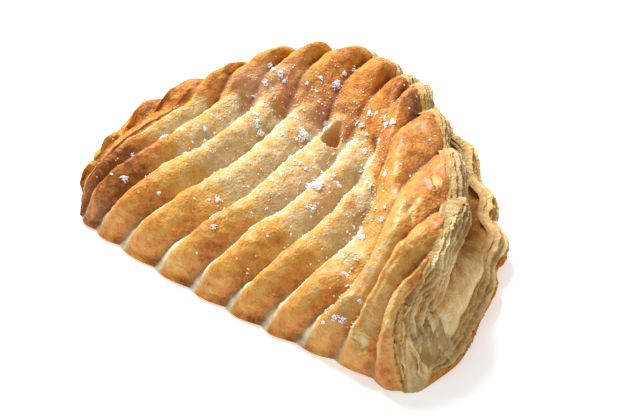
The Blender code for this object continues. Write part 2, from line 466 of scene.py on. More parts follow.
def solid_middle():
    """The middle of the solid's box in plan, on the fold's own axes."""
    steps = np.arange(SOLID_STEPS) * LOOP / SOLID_STEPS
    rings = [along(section(r / SOLID_RINGS, even_ridge), steps) for r in range(SOLID_RINGS + 1)]
    points = np.concatenate(rings)
    return (points.min(axis=0) + points.max(axis=0))[:2] / 2.0


MIDDLE = np.array([*solid_middle(), 0.0])
print("middle of the box on the fold's axes, mm:", MIDDLE.round(2))

# %% [markdown]
# ## The crust
# The crust is a sphere mesh whose poles are moved to the two ends of the fold: each ring of
# latitude becomes one section. A sphere is used because it is closed from the start and its
# rows of faces run along the ridges, which keeps their edges clean. Many more points lie on
# the top than underneath, where nothing happens. The right end is a flat face, so a few
# more rings, each smaller than the one before, fill it.

# %% a fine grid of points over the whole crust
RINGS = RIDGES * 24
CAP_RINGS = 16
STEPS_TOP, STEPS_EDGE, STEPS_UNDER = 15, 7, 3  # points between two control points
LAYER_ROOM = 1.8  # the open side's face stands this far behind the layers' edges

PLACES = np.concatenate(
    [
        np.arange(0.0, TOP_END, 1.0 / STEPS_TOP),
        np.arange(TOP_END, LIP_LOW, 1.0 / STEPS_EDGE),
        np.arange(LIP_LOW, LOOP, 1.0 / STEPS_UNDER),
    ]
)
P = np.minimum(np.arange(RINGS + CAP_RINGS + 1) / RINGS, 1.0)
SHARES = np.interp(PLACES, (1.0, *range(2, 14)), (0.0, *TOP_SHARES, 0.83, 0.93, 1.0))
shape = (len(P), len(PLACES))

rows = [along(section(p, room=LAYER_ROOM), PLACES) for p in P[: RINGS + 1]]
for ring in range(1, CAP_RINGS + 1):
    inward = ring / CAP_RINGS
    rows.append(rows[RINGS] * (1.0 - inward) + rows[RINGS].mean(axis=0) * inward)
grid = np.array(rows) - MIDDLE
phase = np.array([[cut_phase(p, share) for share in SHARES] for p in P])
print("crust grid:", shape, "box, mm:", grid.min((0, 1)).round(1), grid.max((0, 1)).round(1))

# %% [markdown]
# ## The zones of the crust
# Skin, cut walls, the brown rim and the bare leaves differ in form and in colour. Masks
# painted by hand would have to be painted again after every change of shape. So each zone is
# one number per point, 0 outside it and 1 inside, worked out from where the point lies: how
# far across a ridge it is, how far towards the rim, and where along its section. The helpers
# take a whole grid of points at once, because one by one they would be slow.

# %% helpers for a number per point
TURN_START = 0.958  # from here to the right end the bare leaves turn down the end
EDGE_PLACE, EDGE_RISES, END_FALL = 13.8, (1.5, 1.5), 9.8


def ramps(x, low, high):
    """The same smooth climb as ramp, for a whole array."""
    t = np.clip((x - low) / (high - low), 0.0, 1.0)
    return t * t * (3.0 - 2.0 * t)


def hills(x, low, high, fall, end):
    """The same two slopes as hill, for a whole array."""
    return ramps(x, low, high) * (1.0 - ramps(x, fall, end))


def bell(x, middle, width):
    """1 at the middle, falling off smoothly on both sides."""
    return np.exp(-(((x - middle) / width) ** 2))


def noise_at(points, size, away=0.0):
    """Smooth noise from -1 to 1 at each point, with bumps of about this size."""
    flat = (points.reshape(-1, 3) / size + away).tolist()
    return np.array([noise.noise(place) for place in flat]).reshape(points.shape[:-1])


def crust_edge(p):
    """The place along a section where the browned crust ends and the bare leaves begin."""
    edge = EDGE_PLACE - EDGE_RISES[0] * ramps(p, 0.50, 0.64) - EDGE_RISES[1] * ramps(p, 0.76, 0.90)
    return edge - END_FALL * ramps(p, TURN_START, 1.0)


print("the browned crust ends at places", crust_edge(np.array([0.5, 0.7, 1.0])).round(1))

# %% the zones
FINGERTIP = 0.045  # how far the pale ridges' tips reach into the brown rim, as a share
BORDER_WANDER, EDGE_WANDER = (0.04, 0.02), (0.25, 0.12)

across = phase % 1.0
crests = np.array([[crest_place(p, share) for share in SHARES] for p in P])
slope = np.where(across < crests, across / crests, 1.0 + (across - crests) / (1.0 - crests))
crest = np.clip(1.0 - np.abs(slope - 1.0), 0.0, 1.0)
from_cut = np.minimum(slope, 2.0 - slope)
p_grid = np.repeat(P[:, None], shape[1], axis=1)
share_grid = np.repeat(SHARES[None, :], shape[0], axis=0)
place_grid = np.repeat(PLACES[None, :], shape[0], axis=0)
on_upper = hills(place_grid, 0.1, 0.5, EDGE_TOP, EDGE_TOP + 1.5)
ridged = on_upper * hills(p_grid, 0.03, 0.08, 0.95, 0.985)
flank = ridged * ramps(slope, 1.25, 1.85)

brown_place = brown_start(p_grid, ramps) + FINGERTIP * (crest - 0.6) * (1.0 - ramps(p_grid, 0.60, 0.70))
brown_place += BORDER_WANDER[0] * noise_at(grid, 7.0, 50.0) + BORDER_WANDER[1] * noise_at(grid, 2.5, 55.0)
rim_zone = ramps(share_grid, brown_place - 0.03, brown_place + 0.03) * on_upper
right_band = rim_zone * ramps(p_grid, 0.55, 0.75)
left_strip = (1.0 - ramps(phase, 3.15, 3.4)) * on_upper
cut_wall = ridged * (1.0 - ramps(slope, 0.35, 0.62)) * (1.0 - 0.8 * ramps(p_grid, 0.78, 0.84))
cut_wall *= 1.0 - 0.92 * ramps(share_grid, brown_place - 0.05, brown_place + 0.02)

edge_wander = EDGE_WANDER[0] * noise_at(grid, 6.0, 30.0) + EDGE_WANDER[1] * noise_at(grid, 1.8, 35.0)
bare = ramps(place_grid - crust_edge(p_grid) + edge_wander, -0.04, 0.06)
bare *= (1.0 - ramps(place_grid, LIP_OUTER - 0.3, LIP_OUTER + 0.3)) * ramps(p_grid, 0.40, 0.5)
bare[RINGS + 1 :] = 1.0
inside = hills(place_grid, EDGE_LOW - 0.4, EDGE_LOW + 0.4, LIP_TOP + 0.4, LIP_TOP + 0.9)
print("cut walls cover", round(float(cut_wall.mean()), 3), "of the points")

# %% [markdown]
# ## Marks of the oven
# A few things are found in one place only: the deep pit where the middle meets the rim, torn
# patches of skin, the hollow between the two sheets, the leaves that show as streaks at the
# right end. A sculpting brush would do for each, but a formula can be moved by one number.

# %% single marks
PIT_PLACE, PIT_SIZE = (7.50, 0.700), (0.34, 0.052)  # as ridges and share, like all the patches
TORN = (
    ((11.5, 0.80), (0.20, 0.03)),
    ((11.7, 0.57), (0.18, 0.04)),
    ((12.6, 0.03), (0.20, 0.02)),
    ((13.4, 0.20), (0.18, 0.05)),
)
END_WAY = (0.389, 0.921)  # level along the right end's face, in plan
STREAK_WIDTH, STREAK_HEIGHT = 0.8, 9.0


def patch(middle, size):
    """1 in the middle of a round patch of the crust and 0 outside it, as ridges and share."""
    return np.exp(-(((phase - middle[0]) / size[0]) ** 2 + ((share_grid - middle[1]) / size[1]) ** 2))


bumps = noise_at(grid, 2.6, 20.0)
tears = noise_at(grid, 1.1, 60.0)
torn = sum(patch(*place) for place in TORN) + 0.35 * tears + 0.3 * bumps
torn = ramps(torn, 0.45, 0.60) * on_upper * (1.0 - bare)
pit = ramps(patch(PIT_PLACE, PIT_SIZE), 0.30, 0.90) * on_upper
crease_line = bell(share_grid, brown_place, 0.035) * on_upper * hills(phase, 3.6, 4.4, 9.5, 10.5)
deepest = MOUTH_BACK + 0.7 + 0.9 * (1.0 - ramps(p_grid, 0.80, 0.88))
deep_inside = bell(place_grid, deepest, 1.0) * hills(p_grid, 0.62, 0.74, 0.965, 0.99)
rays = noise_at(np.stack([phase * 5.0, place_grid * 0.5, p_grid * 0.0], axis=2), 1.0)
along_end = grid[:, :, 0] * END_WAY[0] + grid[:, :, 1] * END_WAY[1]
upright = grid[:, :, 2] / STREAK_HEIGHT
streaks = noise_at(np.stack([along_end / STREAK_WIDTH, upright, upright * 0.0 + 4.0], axis=2), 1.0)
layered_end = bare * ramps(p_grid, 0.93, 0.96)
print("torn patches cover", round(float(torn.mean()), 4), "and the pit", round(float(pit.mean()), 4))

# %% [markdown]
# ## Relief
# Puff pastry is never smooth. Lumps come from the layers lifting unevenly, blisters from
# steam under the skin, and fine wrinkles from the egg wash drying. A bump map would give
# their shading but leave the outline smooth, so they are pushed out along the surface.

# %% relief, pushed out along the surface
LUMP, LUMP_SIZE = 0.65, 6.5
BUMP, BLISTER, WALL_TEAR, TORN_DEPTH = 0.35, 0.25, 0.30, 0.5
BLISTER_SIZE = 1.5
CREPE, CREPE_SIZE, CREPE_STRETCH = 0.35, 1.6, (9.0, 7.0)
CREASE_DIP, STRIP_STEP, PIT_DEPTH = 1.9, 1.6, 7.5
HOLLOW_DEPTH, RAY = 2.2, 0.6  # the open side is hollow between the two sheets, and fibrous
BARE_STEP, STREAK = 1.7, 0.7  # the crust's thickness where it ends above the bare leaves


def outward_normals(points):
    """The unit normals of a grid of points that is closed along its second axis."""
    down = np.roll(points, -1, axis=1) - np.roll(points, 1, axis=1)
    right = np.gradient(points, axis=0)
    normal = np.cross(right, down)
    return normal / np.maximum(np.linalg.norm(normal, axis=2, keepdims=True), 1e-9)


normals = outward_normals(grid)
blisters = np.maximum(noise_at(grid, BLISTER_SIZE, 40.0), 0.0)
stretched = np.stack([phase * CREPE_STRETCH[0], share_grid * CREPE_STRETCH[1], p_grid * 0.0 + 2.0], axis=2)
crepe = 1.0 - np.abs(noise_at(stretched, CREPE_SIZE)) * 2.0
strip_middle = (1.0 - ramps(share_grid, 0.70, 0.85)) * ramps(share_grid, 0.03, 0.15)

relief = LUMP * noise_at(grid, LUMP_SIZE) + BUMP * bumps
relief += STREAK * streaks * layered_end
relief += BLISTER * blisters * (1.0 - cut_wall) * (0.4 + 0.6 * rim_zone)
relief += WALL_TEAR * tears * cut_wall
relief += CREPE * crepe * right_band * (1.0 - cut_wall)
relief -= BARE_STEP * bare * (1.0 - ramps(place_grid, EDGE_TOP + 0.4, EDGE_TOP + 1.6))
relief -= TORN_DEPTH * torn
relief -= CREASE_DIP * crease_line * (0.5 + 0.5 * flank)
relief -= STRIP_STEP * left_strip * strip_middle
relief += RAY * rays * inside * ramps(p_grid, 0.6, 0.7) - HOLLOW_DEPTH * deep_inside
relief *= hills(place_grid, 0.2, FOOT, LIP_OUTER, LIP_LOW)
crust_points = grid + normals * relief[:, :, None]
crust_points[:, :, 2] -= PIT_DEPTH * pit
crust_points[:, :, 2] = np.maximum(crust_points[:, :, 2], 0.0)
print("relief, mm:", relief.min().round(2), "to", relief.max().round(2))

# %% [markdown]
# ## Browning
# Where the crust stands high and thin it browns first: the rim, the tips and the crests of
# the fold. The middle, which lies low and stays moist over the filling, stays cream. The
# walls of the cuts were inside the dough and were not brushed with egg: they stay pale. A
# picture of a crust could be laid on instead, but it would not follow the ridges, so the
# browning is added up, zone by zone, into one number per point.

# %% browning and painted shade, from 0 for raw cream to 1 for deep brown
# each triple is how much browner a zone is all over and on its crests, and how much painted shade darkens
# its right flanks
MIDDLE_BROWN, FOLD_BROWN_AND_SHADE, RIM_BROWN_AND_SHADE = (0.23, 0.10, 0.0), (0.14, 0.14, 0.34), (0.36, 0.06, 0.10)
BAND_PALER, TIP_BROWNER, FOOT_BROWNER, OUTER_BROWNER = 0.28, 0.38, 0.15, 0.32
PATCHES, SPOTS = 0.08, 0.09

patches = noise_at(grid, 9.0, 80.0)
spots = noise_at(grid, 3.0, 90.0)
fold_end = 0.20 + 0.12 * (1.0 - ramps(phase, 4.0, 6.0)) + 0.06 * patches
fold_zone = on_upper * (1.0 - ramps(share_grid, fold_end - 0.10, fold_end + 0.12))
brown_zone = np.maximum(rim_zone, left_strip)
tip_zone = (1.0 - ramps(phase, 3.8, 6.2)) * (1.0 - ramps(share_grid, 0.12, 0.45)) * (1.0 - left_strip)
paler = BAND_PALER * ramps(p_grid, 0.66, 0.74) * (1.0 - ramps(share_grid, 0.35, 0.80))
paler += left_strip * (0.20 - 0.26 * ramps(phase, 1.0, 2.2)) + 0.10 * bell(phase, 4.9, 0.9) * rim_zone


def toned(brown):
    """A zone's browning, from its triple, with painted shade on its right flanks."""
    return brown[0] + brown[1] * crest + brown[2] * flank


browning_and_shade = toned(MIDDLE_BROWN)
browning_and_shade += fold_zone * toned(FOLD_BROWN_AND_SHADE) * (1.0 - brown_zone)
browning_and_shade += brown_zone * (toned(RIM_BROWN_AND_SHADE) - paler)
browning_and_shade += TIP_BROWNER * tip_zone
browning_and_shade += OUTER_BROWNER * hills(place_grid, LIP_OUTER - 0.2, LIP_OUTER + 0.4, UNDERSIDE, UNDERSIDE + 1.0)
browning_and_shade += PATCHES * patches + SPOTS * spots
browning_and_shade += FOOT_BROWNER * (1.0 - ramps(crust_points[:, :, 2], 0.6, 2.2)) * on_upper
print("browning:", browning_and_shade.min().round(2), "to", browning_and_shade.max().round(2))

# %% [markdown]
# Cuts, bare leaves and single marks come on top of the zones. The bottoms of the cuts on the
# rim are darkened with painted shade. Inside the open side the dough is cream at the front,
# and painted shade darkens it deep inside, on the mouth's walls and in the pit.

# %% browning and painted shade of cuts, leaves and marks
# the groove's number is painted shade in the bottoms of the rim's cuts
CUT_PALER, GROOVE_SHADE = 0.50, 0.26
LEAF_TONE, INSIDE_PALER, TORN_TONE = 0.52, 0.36, 0.15
# painted shade deep inside the open side, in the pit and on the mouth's walls
DEEP_SHADE, PIT_SHADE, MOUTH_SHADE = 0.45, 0.26, 0.40
END_BROWNER, BACK_RIM_BROWNER = 0.16, 0.20

browning_and_shade -= cut_wall * CUT_PALER * (1.0 - 0.6 * brown_zone)
# painted shade in the bottoms of the rim's cuts
browning_and_shade += GROOVE_SHADE * ridged * bell(from_cut, 0.0, 0.16) * rim_zone
bare_tone = LEAF_TONE - INSIDE_PALER * ramps(place_grid, MOUTH_BACK + 0.5, MOUTH_BACK + 1.8)
bare_tone += 0.12 * spots + 0.20 * rays * inside
torn_tone = TORN_TONE + 0.1 * spots
browning_and_shade += (bare_tone - browning_and_shade) * bare + (torn_tone - browning_and_shade) * 0.7 * torn * (1.0 - bare)
# painted shade deep inside the open side and in the pit
browning_and_shade += DEEP_SHADE * deep_inside * bare + PIT_SHADE * pit

end_foot = ramps(p_grid, 0.925, 0.945) * (1.0 - ramps(share_grid, 0.10, 0.30)) * on_upper * (1.0 - bare)
# painted shade on the mouth's walls, under the upper sheet
mouth_wall = hills(place_grid, MOUTH_BACK, MOUTH_BACK + 0.6, LIP_TOP - 0.7, LIP_TOP - 0.1) * bare
mouth_wall *= 1.0 - ramps(p_grid, 0.82, 0.88)
back_rim = rim_zone * hills(phase, 7.8, 8.6, 10.0, 10.8) * ramps(share_grid, 0.80, 0.92)
browning_and_shade += END_BROWNER * end_foot + MOUTH_SHADE * mouth_wall + BACK_RIM_BROWNER * back_rim
print("browning with its marks:", browning_and_shade.min().round(2), "to", browning_and_shade.max().round(2))

# %% [markdown]
# Four more numbers go with the browning. The egg wash left a gloss on the skin, most of all
# on the right hand ridges. Painted shade gives a darker tint to the bottoms of the cuts, the
# ridges' right flanks, the pit and the gaps between the leaves at the right end. Sugar melted
# into a dull film in a few places, and one more such patch on the right hand band is a painted
# highlight. And bare leaves take their own scale of colours, because they brown less red than
# the skin.

# %% gloss, painted shade, melted sugar with a painted highlight, and leaves
GLOSS, FOLD_GLOSS, BAND_GLOSS = 0.05, 0.20, 0.45
# widths and strengths of the painted shade: in the cuts, on the flanks, in the pit and between the end's
# leaves
CUT_SHADE_WIDTH, FLANK_SHADE, PIT_SHADE_TINT = 0.13, 0.6, 0.6
STREAK_SHADE = (0.30, 1.3, 0.9)
# each film of melted sugar, and one painted highlight: how thick, its middle and its size
SUGAR_AND_HIGHLIGHT_PATCHES = (
    (0.55, (5.0, 0.80), (0.9, 0.06)),
    (0.25, (7.0, 0.74), (1.2, 0.06)),
    # not sugar: a painted highlight on the right hand band
    (0.12, (11.6, 0.15), (0.5, 0.12)),
    (0.20, (8.4, 0.45), (1.0, 0.10)),
)

gloss = GLOSS + FOLD_GLOSS * fold_zone + BAND_GLOSS * right_band
gloss *= (1.0 - cut_wall) * (1.0 - bare) * (1.0 - torn)
# painted shade in the bottoms of the cuts
painted_shade = ridged * bell(from_cut, 0.0, CUT_SHADE_WIDTH) * (1.0 - 0.6 * rim_zone)
# painted shade on the ridges' right flanks, which face away from the lamp
shaded_flank = FLANK_SHADE * flank * (1.0 - brown_zone) * ramps(share_grid, 0.1, 0.3)
painted_shade = np.maximum(painted_shade, shaded_flank) * (1.0 - bare)
# painted shade in the pit
painted_shade = np.maximum(painted_shade, PIT_SHADE_TINT * pit**2)
# painted shade in the gaps between the leaves at the right end
between = np.clip(STREAK_SHADE[0] - STREAK_SHADE[1] * streaks, 0.0, STREAK_SHADE[2])
painted_shade = np.maximum(painted_shade, layered_end * between)
sugar_and_highlight = sum(thick * patch(middle, size) for thick, middle, size in SUGAR_AND_HIGHLIGHT_PATCHES)
sugar_and_highlight *= np.clip(0.9 + 0.9 * noise_at(grid, 1.3, 95.0), 0.2, 1.5) * on_upper * (1.0 - bare)
leafy = np.maximum(bare, 0.6 * torn)
print("gloss up to", gloss.max().round(2), "and melted sugar up to", sugar_and_highlight.max().round(2))

# %% [markdown]
# ## Helpers for nodes
# A material is a chain of nodes. It can be clicked together by hand, but then nobody can read
# later how it was made. Each of these helpers adds one node and gives back its output, so
# that a chain of nodes reads like a sum.

# %% helpers for nodes


def group(name, inputs, outputs):
    """An empty node group with these sockets, and its two end nodes."""
    tree = bpy.data.node_groups.new(name, "ShaderNodeTree")
    for label, kind in inputs:
        tree.interface.new_socket(label, in_out="INPUT", socket_type=kind)
    for label, kind in outputs:
        tree.interface.new_socket(label, in_out="OUTPUT", socket_type=kind)
    return tree, tree.nodes.new("NodeGroupInput"), tree.nodes.new("NodeGroupOutput")


def texture(tree, kind, vector, scale, detail=2.0):
    """The value of a noise or Voronoi texture; scale is in bumps per metre."""
    node = tree.nodes.new(kind)
    is_noise = kind == "ShaderNodeTexNoise"
    dial(node, {"Scale": scale, "Detail": detail} if is_noise else {"Scale": scale})
    tree.links.new(vector, node.inputs["Vector"])
    return node.outputs["Fac" if is_noise else "Distance"]


def plug(tree, value, socket):
    """Feed an input: link an output to it, or set it to a number or a colour."""
    if isinstance(value, bpy.types.NodeSocket):
        tree.links.new(value, socket)
    else:
        socket.default_value = (*value, 1.0) if isinstance(value, tuple) else value


def mixed(tree, operation, first, second):
    """The result of a maths node on two sockets or numbers."""
    node = tree.nodes.new("ShaderNodeMath")
    node.operation = operation
    plug(tree, first, node.inputs[0])
    plug(tree, second, node.inputs[1])
    return node.outputs[0]


def tinted(tree, amount, first, second):
    """A colour mix of a socket or colour with another, by amount."""
    node = tree.nodes.new("ShaderNodeMix")
    node.data_type = "RGBA"
    tree.links.new(amount, node.inputs["Factor"])
    for value, name in ((first, "A"), (second, "B")):
        plug(tree, value, [one for one in node.inputs if one.name == name and one.type == "RGBA"][0])
    return [one for one in node.outputs if one.type == "RGBA"][0]


def scale(tree, amount, steps):
    """The colour on a scale of colours at this amount."""
    colours = tree.nodes.new("ShaderNodeValToRGB")
    colours.color_ramp.elements.remove(colours.color_ramp.elements[1])
    first = colours.color_ramp.elements[0]
    first.position, first.color = steps[0][0], (*steps[0][1], 1.0)
    for place, colour in steps[1:]:
        colours.color_ramp.elements.new(place).color = (*colour, 1.0)
    tree.links.new(amount, colours.inputs["Fac"])
    return colours.outputs["Color"]


print("helpers:", *(helper.__name__ for helper in (group, texture, plug, mixed, tinted, scale)))

# %% [markdown]
# ## The crust's look
# All browning is one scale: cream dough turns gold, orange brown and deep brown as it
# bakes. Bare leaves have a scale of their own. A material for each zone would show a seam
# between them, so one node group holds both scales, a second the fine grain of the dough,
# and every baked piece uses both groups, so that leaves and crust belong together.

# %% node groups: browning and grain
BAKED = (
    (0.00, (0.780, 0.655, 0.430)),
    (0.25, (0.575, 0.420, 0.215)),
    (0.45, (0.600, 0.330, 0.060)),
    (0.70, (0.560, 0.200, 0.032)),
    (1.00, (0.200, 0.055, 0.006)),
)
LEAVES = (
    (0.00, (0.850, 0.660, 0.360)),
    (0.30, (0.720, 0.480, 0.190)),
    (0.60, (0.540, 0.280, 0.065)),
    (1.00, (0.280, 0.100, 0.015)),
)
MOTTLE_SCALE, GRAIN_SCALE, BUBBLE_SCALE = 450.0, 1700.0, 1000.0  # bumps per metre


def baked_browning():
    """Node group: how brown the dough is, turned into its colour on the skin or on a leaf."""
    tree, start, end = group(
        "baked_browning",
        [("Browning", "NodeSocketFloat"), ("Leaf", "NodeSocketFloat")],
        [("Color", "NodeSocketColor")],
    )
    skin, leaf = (scale(tree, start.outputs["Browning"], steps) for steps in (BAKED, LEAVES))
    tree.links.new(tinted(tree, start.outputs["Leaf"], skin, leaf), end.inputs["Color"])
    return tree


def dough_grain():
    """Node group: mottling for the colour, and the height of the dough's grain and bubbles."""
    tree, start, end = group(
        "dough_grain",
        [("Vector", "NodeSocketVector")],
        [("Mottle", "NodeSocketFloat"), ("Height", "NodeSocketFloat")],
    )
    vector = start.outputs["Vector"]
    mottle = texture(tree, "ShaderNodeTexNoise", vector, MOTTLE_SCALE, 4.0)
    grain = texture(tree, "ShaderNodeTexNoise", vector, GRAIN_SCALE, 3.0)
    bubble = texture(tree, "ShaderNodeTexVoronoi", vector, BUBBLE_SCALE)
    height = mixed(tree, "ADD", mixed(tree, "MULTIPLY", mottle, 0.8), grain)
    height = mixed(tree, "SUBTRACT", height, mixed(tree, "MULTIPLY", bubble, 0.5))
    fine = mixed(tree, "ADD", mixed(tree, "MULTIPLY", grain, 0.6), mottle)
    tree.links.new(mixed(tree, "SUBTRACT", fine, 0.8), end.inputs["Mottle"])
    tree.links.new(height, end.inputs["Height"])
    return tree


browning_group = baked_browning()
grain_group = dough_grain()
print("node groups:", browning_group.name, grain_group.name)

# %% [markdown]
# The material reads the numbers kept on the piece, so the same one serves skin and leaves.
# Light enters dough a little way before it comes out again, which softens it: that is the
# subsurface part. The egg wash is a thin coat whose weight is the gloss number.

# %% the baked material
MOTTLE = 0.75
# the colour and the strength of the painted shade
SHADE_TINT, SHADE_AMOUNT = (0.30, 0.19, 0.09), 0.65
# the colour of melted sugar, also used for a painted highlight on the right hand band
SUGAR_AND_HIGHLIGHT_TINT = (0.74, 0.44, 0.33)
GRAIN_HEIGHT = 0.0005

crust_look, tree, shader = new_look("baked_crust")


def read(tree, name):
    """A node that reads one of the numbers kept on the piece."""
    node = tree.nodes.new("ShaderNodeAttribute")
    node.attribute_name = name
    return node.outputs["Fac"]


def grouped(tree, content):
    """A group node in the material."""
    node = tree.nodes.new("ShaderNodeGroup")
    node.node_tree = content
    return node


place = tree.nodes.new("ShaderNodeTexCoord")
grain = grouped(tree, grain_group)
tree.links.new(place.outputs["Object"], grain.inputs["Vector"])
baked = grouped(tree, browning_group)
mottled = mixed(tree, "MULTIPLY", grain.outputs["Mottle"], MOTTLE)
# the browning number also carries the painted shade added to it
tree.links.new(mixed(tree, "ADD", read(tree, "browning_and_shade"), mottled), baked.inputs["Browning"])
tree.links.new(read(tree, "leafy"), baked.inputs["Leaf"])
# painted shade, read from the piece's numbers
shaded = mixed(tree, "MULTIPLY", read(tree, "painted_shade"), SHADE_AMOUNT)
colour = tinted(tree, shaded, baked.outputs["Color"], SHADE_TINT)
# melted sugar, and a painted highlight on the right hand band
colour = tinted(tree, read(tree, "sugar_and_highlight"), colour, SUGAR_AND_HIGHLIGHT_TINT)
tree.links.new(colour, shader.inputs["Base Color"])
dial(shader, {"Roughness": 0.6, "Specular IOR Level": 0.15, "Coat Roughness": 0.38})
dial(shader, {"Subsurface Weight": 0.12, "Subsurface Scale": 0.0015})
dial(shader, {"Subsurface Radius": (1.0, 0.45, 0.2)})
tree.links.new(read(tree, "gloss"), shader.inputs["Coat Weight"])
bump = tree.nodes.new("ShaderNodeBump")
dial(bump, {"Strength": 0.8, "Distance": GRAIN_HEIGHT})
tree.links.new(grain.outputs["Height"], bump.inputs["Height"])
tree.links.new(bump.outputs["Normal"], shader.inputs["Normal"])
print("baked material:", len(tree.nodes), "nodes")

# %% [markdown]
# ## Building closed pieces from grids
# The crust and each leaf are the same kind of thing, a row of rings. Skinning the rings with
# faces of our own would be a way, but a sphere has just those faces and is closed already.
# So one function moves a sphere's points onto the rings, and another joins several such
# meshes into one piece and keeps the numbers of their points, which the material reads.

# %% build pieces from rings of points


def lofted(points):
    """A closed mesh over a grid of rings in mm, and each of its vertices' ring and step."""
    rings, steps = points.shape[0] - 1, points.shape[1]
    bm = bmesh.new()
    bmesh.ops.create_uvsphere(bm, u_segments=steps, v_segments=rings, radius=1.0)
    places = []
    for vert in bm.verts:
        ring = round(math.acos(max(-1.0, min(1.0, vert.co.z))) / math.pi * rings)
        step = round(math.atan2(vert.co.y, vert.co.x) / (2.0 * math.pi) * steps) % steps
        pole = ring in (0, rings)
        vert.co = (points[ring].mean(axis=0) if pole else points[ring, step]) * MM
        places.append((ring, step))
    return bm, np.array(places).T


def pour(bm, whole):
    """Add the content of a bmesh to the whole."""
    mesh = mesh_from(bm, "part")
    whole.from_mesh(mesh)
    bpy.data.meshes.remove(mesh)


def finished(name, bm, look, smooth=True):
    """The mesh as a piece that lies on the pastry's body."""
    mesh = mesh_from(bm, name)
    if smooth:
        mesh.shade_smooth()
    mesh.materials.append(look)
    piece = bpy.data.objects.new(name, mesh)
    scene.collection.objects.link(piece)
    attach(piece, "root")
    return piece


def baked_piece(name, parts):
    """One piece joined from parts: each a grid of rings and its numbers, by name."""
    whole = bmesh.new()
    numbers = {label: [] for label in ("browning_and_shade", "gloss", "painted_shade", "leafy", "sugar_and_highlight")}
    for points, values in parts:
        bm, (rings, steps) = lofted(points)
        pour(bm, whole)
        for label in numbers:
            numbers[label].append(np.clip(values[label], 0.0, 1.0)[rings, steps])
    piece = finished(name, whole, crust_look)
    for label, lists in numbers.items():
        attribute = piece.data.attributes.new(label, "FLOAT", "POINT")
        attribute.data.foreach_set("value", np.concatenate(lists).astype(np.float32))
    return piece


crust_numbers = {"browning_and_shade": browning_and_shade, "gloss": gloss, "painted_shade": painted_shade, "leafy": leafy, "sugar_and_highlight": sugar_and_highlight}
crust = baked_piece("crust", [(crust_points, crust_numbers)])
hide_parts("turnover")
print("crust faces:", len(crust.data.polygons))

# %% [markdown]
# ## Layers at the open side
# Where the dough was cut before folding, its leaves are open to the air and spread like the
# pages of a wet book. Each leaf is a thin curved strip: it follows the sheet's edge round
# the rim, turns down at the right end and stands out of the crust by a changing amount.
# Strips are built rather than painted, because their edges make shadows on one another.
# First comes each strip's course, the line along which it leaves the crust.

# %% the strips' courses along the sheet's edges
UPPER_START, LOWER_START = 0.46, 0.50
RIM_POINTS, END_POINTS, LOWER_POINTS = 220, 60, 240
MOUTH_EDGE, MOUTH_EDGE_DROP = 13.5, 3.6  # the place of the innermost leaf, and its drop at the end
END_FOOT = (0.955, 21.9)  # at the right end the innermost leaf meets the lower sheet here
END_OUT = Vector((0.90, -0.38, 0.22)).normalized()  # the way out of the right end
END_REACH = 0.05  # metres from which the end is looked at
LOWER_PLACE, LOWER_SPREAD, LOWER_END_DROP = 21.5, 1.7, 0.9


def surface(p, place):
    """Points of the crust's form, before its relief, at these p and places."""
    rows = np.clip(np.asarray(p, float), 0.0, 1.0) * RINGS
    columns = np.interp(np.asarray(place, float), PLACES, np.arange(len(PLACES)))
    r = np.minimum(rows.astype(int), RINGS - 1)
    c = np.minimum(columns.astype(int), len(PLACES) - 2)
    u, v = (rows - r)[:, None], (columns - c)[:, None]
    near = grid[r, c] * (1.0 - v) + grid[r, c + 1] * v
    far = grid[r + 1, c] * (1.0 - v) + grid[r + 1, c + 1] * v
    return near * (1.0 - u) + far * u


body = BVHTree.FromPolygons([v.co for v in crust.data.vertices], [f.vertices for f in crust.data.polygons])


def laid_on_end(points):
    """The points moved onto the crust's right end, as seen from outside that end."""
    laid = points.copy()
    for i, point in enumerate(points):
        hit = body.ray_cast(Vector(point) * MM + END_OUT * END_REACH, -END_OUT)[0]
        if hit is not None:
            laid[i] = np.array(hit) / MM
    return laid


def smoothed(values, times):
    """Each value moved towards its neighbours' mean, several times; the ends stay."""
    values = values.copy()
    for _ in range(times):
        values[1:-1] = values[1:-1] * 0.5 + (values[:-2] + values[2:]) * 0.25
    return values


def upper_course(w):
    """The course of an upper leaf: w is 0 under the crust's edge and 1 at the mouth."""
    p = np.linspace(UPPER_START, TURN_START, RIM_POINTS)
    mouth_edge = MOUTH_EDGE + MOUTH_EDGE_DROP * ramps(p, 0.925, TURN_START)
    rim = surface(p, crust_edge(p) * (1.0 - w) + mouth_edge * w)
    s = np.linspace(0.02, 1.0, END_POINTS)
    p = TURN_START + (1.0 - TURN_START) * s
    fold_side = surface(p, crust_edge(p))
    mouth_side = surface([TURN_START], mouth_edge[-1:])
    foot = surface([END_FOOT[0]], [END_FOOT[1]])
    mouth_side = mouth_side * (1.0 - s[:, None]) + foot * s[:, None]
    end = laid_on_end(fold_side * (1.0 - w) + mouth_side * w)
    return np.concatenate([rim, smoothed(end, 20)])


def lower_course(w):
    """The course of a lower leaf: w is 0 for the bottom one and 1 for the lip's top."""
    p = np.linspace(1.0, LOWER_START, LOWER_POINTS)
    return surface(p, LOWER_PLACE - LOWER_SPREAD * w + LOWER_END_DROP * w * ramps(p, 0.92, 1.0))


def evened(course, step):
    """The same course with a point every step millimetres."""
    lengths = np.concatenate([[0.0], np.cumsum(np.linalg.norm(np.diff(course, axis=0), axis=1))])
    wanted = np.arange(0.0, lengths[-1], step)
    return np.stack([np.interp(wanted, lengths, course[:, axis]) for axis in range(3)], axis=1)


print("a leaf's course, in points:", len(upper_course(0.5)), "above,", len(lower_course(0.5)), "below")

# %% [markdown]
# Each strip is a row of flat rings along its course. Its hidden side reaches into the crust,
# so that no gap shows, and the free side stands out, sways and frays by noise. Extruding a
# profile along a curve would give even strips, and then no leaf would look torn.

